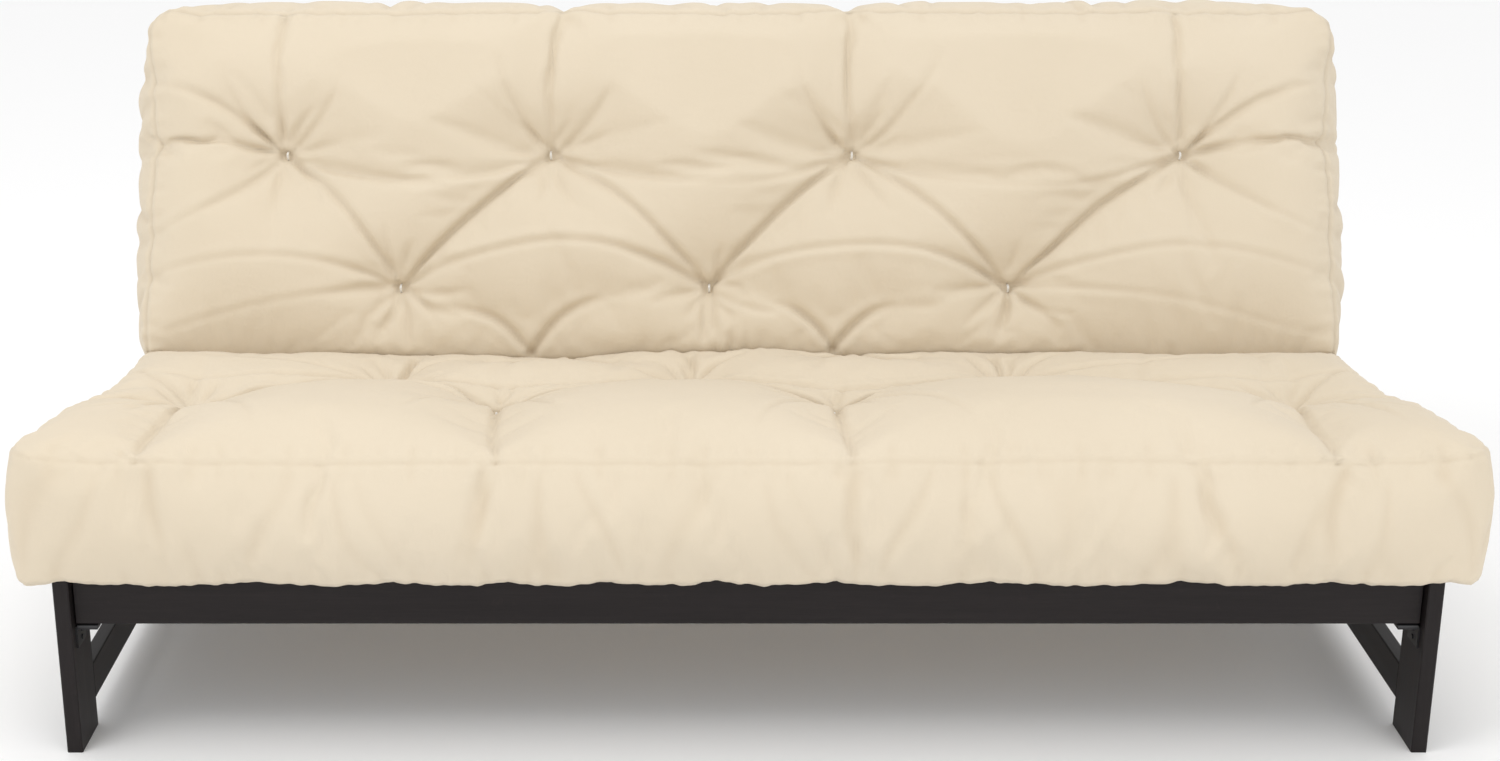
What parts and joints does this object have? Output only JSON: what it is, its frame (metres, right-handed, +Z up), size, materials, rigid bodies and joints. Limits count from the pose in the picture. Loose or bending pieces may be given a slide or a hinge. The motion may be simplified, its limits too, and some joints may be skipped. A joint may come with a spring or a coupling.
{
  "type": "futon sofa bed",
  "caption": "Armless futon sofa bed: wooden leg frames, a sliding slatted seat deck, a hinged slatted back deck guided in grooves, and a tufted one-piece mattress.",
  "frame": {"origin": "on the floor, midway between the two ends and midway between the mattress's front and the back's rear corner, as the sofa", "axes": "+Z up; +X towards the right-hand end as seen from the front; -Y towards the person who sits down, so the seat slides along -Y"},
  "size_m": [1.92, 0.9588, 0.8931],
  "materials": {
    "frame_wood": "satin espresso lacquer over hardwood",
    "slat_wood": "bare planed pine",
    "dowel_wood": "bare beech",
    "zinc_steel": "zinc plated",
    "black_steel": "black oxide",
    "nylon": "natural nylon",
    "black_nylon": "black nylon",
    "rubber": "matte",
    "twill": "natural cotton twill, unbleached",
    "foam": "open-cell foam",
    "cotton": "cotton batting",
    "thread": "waxed tufting twine"
  },
  "bodies": {
    "base_frame": {"front_leg_left": "frame_wood", "front_leg_right": "frame_wood", "rear_leg_left": "frame_wood", "rear_leg_right": "frame_wood", "low_stretcher_left": "frame_wood", "low_stretcher_right": "frame_wood", "track_rail_left": "frame_wood", "track_rail_right": "frame_wood", "front_cross_rail": "frame_wood", "rear_cross_rail": "frame_wood", "frame_dowels": "dowel_wood", "cross_rail_bolts": "black_steel", "barrel_nuts": "zinc_steel", "glide_brackets": "black_steel", "glide_pads": "black_nylon", "bracket_screws": "black_steel", "rest_pads": "rubber"},
    "seat_deck": {"seat_front_rail": "frame_wood", "seat_slat_ledger": "frame_wood", "seat_mid_rail": "frame_wood", "seat_rear_rail": "frame_wood", "seat_side_rail_left": "frame_wood", "seat_side_rail_right": "frame_wood", "seat_slats": "slat_wood", "seat_slat_screws": "zinc_steel", "seat_rail_screws": "zinc_steel", "front_rail_dowels": "dowel_wood", "seat_hinge_plates": "zinc_steel", "seat_plate_screws": "zinc_steel", "hinge_bolts": "zinc_steel", "hinge_washers": "nylon", "hinge_retainers": "black_steel", "seat_mattress_cover": "twill", "seat_foam_core": "foam", "seat_cotton_batting": "cotton", "seat_tufts": "thread"},
    "back_deck": {"back_top_rail": "frame_wood", "back_mid_rail": "frame_wood", "back_bottom_rail": "frame_wood", "back_side_rail_left": "frame_wood", "back_side_rail_right": "frame_wood", "back_slats": "slat_wood", "back_slat_screws": "zinc_steel", "back_rail_screws": "zinc_steel", "back_hinge_plates": "zinc_steel", "back_plate_screws": "zinc_steel", "guide_pins": "zinc_steel", "guide_retainers": "black_steel", "back_mattress_cover": "twill", "back_foam_core": "foam", "back_cotton_batting": "cotton", "back_tufts": "thread"},
    "hinge_roller_left": {"hinge_roller_left": "nylon"},
    "hinge_roller_right": {"hinge_roller_right": "nylon"},
    "guide_roller_left": {"guide_roller_left": "nylon"},
    "guide_roller_right": {"guide_roller_right": "nylon"}
  },
  "joints": [
    {"name": "seat_slide", "type": "slide", "parent": "base_frame", "child": "seat_deck", "axis": [0, -1, 0], "range_m": [0, 0.2]},
    {"name": "back_recline", "type": "hinge", "parent": "seat_deck", "child": "back_deck", "pos_m": [0, 0.17564, 0.226], "axis": [-1, 0, 0], "range_deg": [0, 65]},
    {"name": "hinge_roller_left_spin", "type": "hinge", "parent": "seat_deck", "child": "hinge_roller_left", "pos_m": [-0.899, 0.17564, 0.226], "axis": [1, 0, 0], "continuous": true},
    {"name": "hinge_roller_right_spin", "type": "hinge", "parent": "seat_deck", "child": "hinge_roller_right", "pos_m": [0.899, 0.17564, 0.226], "axis": [1, 0, 0], "continuous": true},
    {"name": "guide_roller_left_spin", "type": "hinge", "parent": "back_deck", "child": "guide_roller_left", "pos_m": [-0.899, 0.15198, 0.17525], "axis": [1, 0, 0], "continuous": true},
    {"name": "guide_roller_right_spin", "type": "hinge", "parent": "back_deck", "child": "guide_roller_right", "pos_m": [0.899, 0.15198, 0.17525], "axis": [1, 0, 0], "continuous": true}
  ],
  "couplings": [
    {"joint": "back_recline", "follows": "seat_slide", "rad_per_m": 5.6723}
  ]
}
